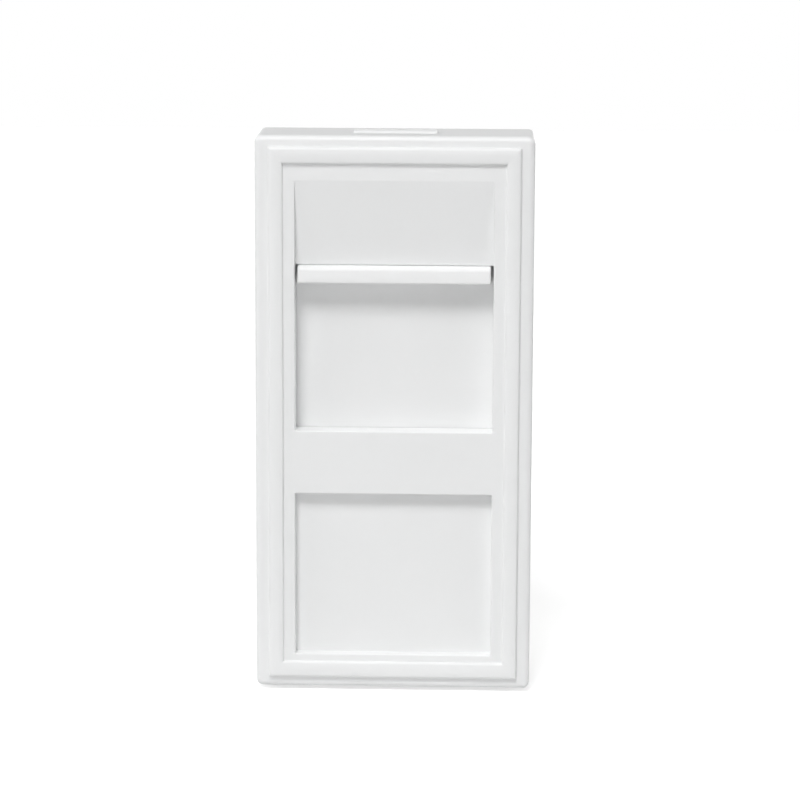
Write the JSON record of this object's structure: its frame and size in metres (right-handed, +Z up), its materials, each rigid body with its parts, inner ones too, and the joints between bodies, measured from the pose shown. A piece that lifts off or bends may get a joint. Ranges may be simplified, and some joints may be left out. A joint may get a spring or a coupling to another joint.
{
  "type": "shuttered data outlet module",
  "caption": "Snap-in half-width wall plate module with a sprung sliding dust shutter over a data jack, a label recess below and insulation-piercing terminals behind.",
  "frame": {"origin": "middle of the frame's rear rim, the plane that seats on the wall plate's ledge", "axes": "+X to the right seen from the front, +Y into the wall, +Z up; the face looks along -Y"},
  "size_m": [0.0248, 0.0302, 0.0508],
  "materials": {
    "frame_plastic": "white moulding, satin sheen",
    "shutter_plastic": "white moulding, satin sheen",
    "carrier_plastic": "white moulding, unpolished",
    "jack_plastic": "white moulding",
    "terminal_plastic": "white moulding",
    "sled_plastic": "black moulding",
    "board_laminate": "green lacquered laminate",
    "contact_gilt": "gilt spring strip",
    "blade_tin": "tinned bronze strip",
    "spring_steel": "drawn spring wire"
  },
  "bodies": {
    "housing": {"front_frame": "frame_plastic", "shutter_spring": "spring_steel", "rear_carrier": "carrier_plastic", "jack_housing": "jack_plastic", "contact_sled": "sled_plastic", "circuit_board": "board_laminate", "terminal_block": "terminal_plastic", "contact_1": "contact_gilt", "contact_2": "contact_gilt", "contact_3": "contact_gilt", "contact_4": "contact_gilt", "contact_5": "contact_gilt", "contact_6": "contact_gilt", "contact_7": "contact_gilt", "contact_8": "contact_gilt", "blade_upper_1": "blade_tin", "blade_upper_2": "blade_tin", "blade_upper_3": "blade_tin", "blade_upper_4": "blade_tin", "blade_lower_1": "blade_tin", "blade_lower_2": "blade_tin", "blade_lower_3": "blade_tin", "blade_lower_4": "blade_tin"},
    "shutter": {"shutter": "shutter_plastic"}
  },
  "joints": [
    {"name": "shutter_slide", "type": "slide", "parent": "housing", "child": "shutter", "axis": [0, 0, -1], "range_m": [0, 0.0132], "stiffness_N_per_m": 30, "springref_m": -0.006, "deforming": ["shutter_spring"]}
  ]
}
